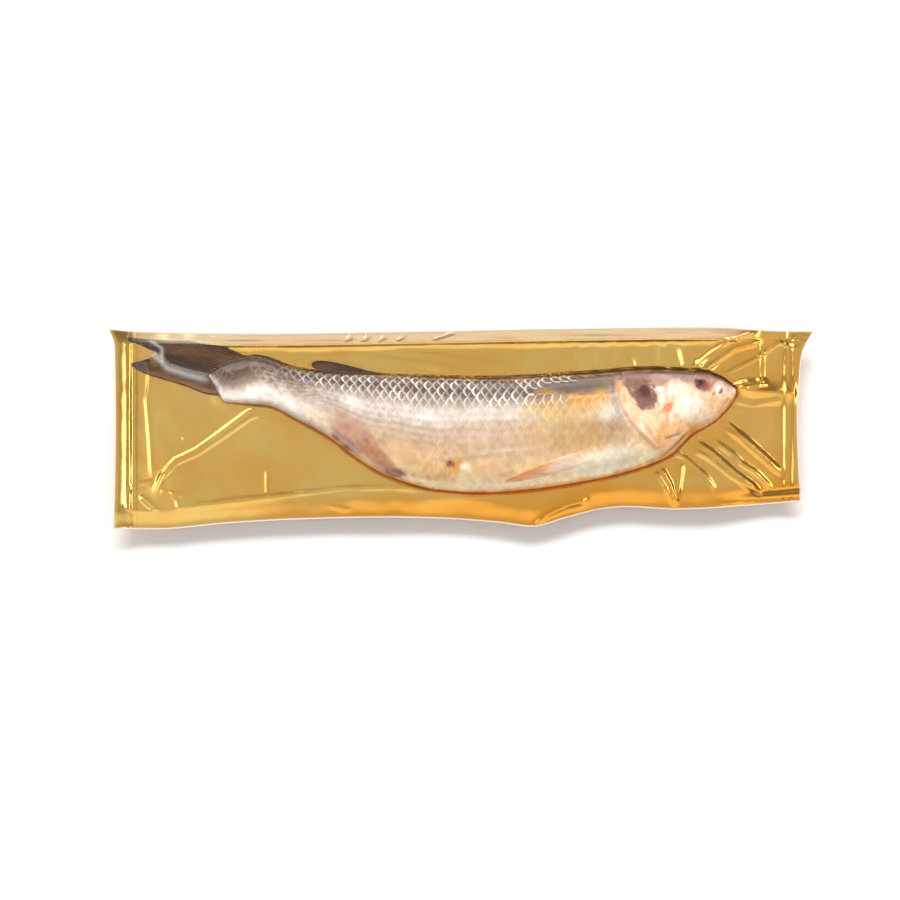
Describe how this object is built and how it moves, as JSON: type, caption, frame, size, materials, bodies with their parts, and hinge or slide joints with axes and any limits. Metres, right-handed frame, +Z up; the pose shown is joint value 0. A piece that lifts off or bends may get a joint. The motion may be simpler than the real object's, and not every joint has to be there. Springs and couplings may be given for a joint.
{
  "type": "salted mullet in a vacuum pouch",
  "caption": "Whole salted grey mullet lying on its flank, sealed flat in a long vacuum pouch with a gold foil back and a clear film front.",
  "frame": {"origin": "on the table, under the middle of the pouch", "axes": "+X along the pouch towards the fish's head, +Y across it towards the fish's back, +Z up off the table"},
  "size_m": [0.424, 0.122, 0.0405],
  "materials": {
    "fish": "satin",
    "gold_foil": "gloss",
    "clear_film": "gloss"
  },
  "bodies": {
    "root": {"salted_mullet": "fish", "gold_foil_back": "gold_foil", "clear_film_front": "clear_film"}
  },
  "joints": []
}
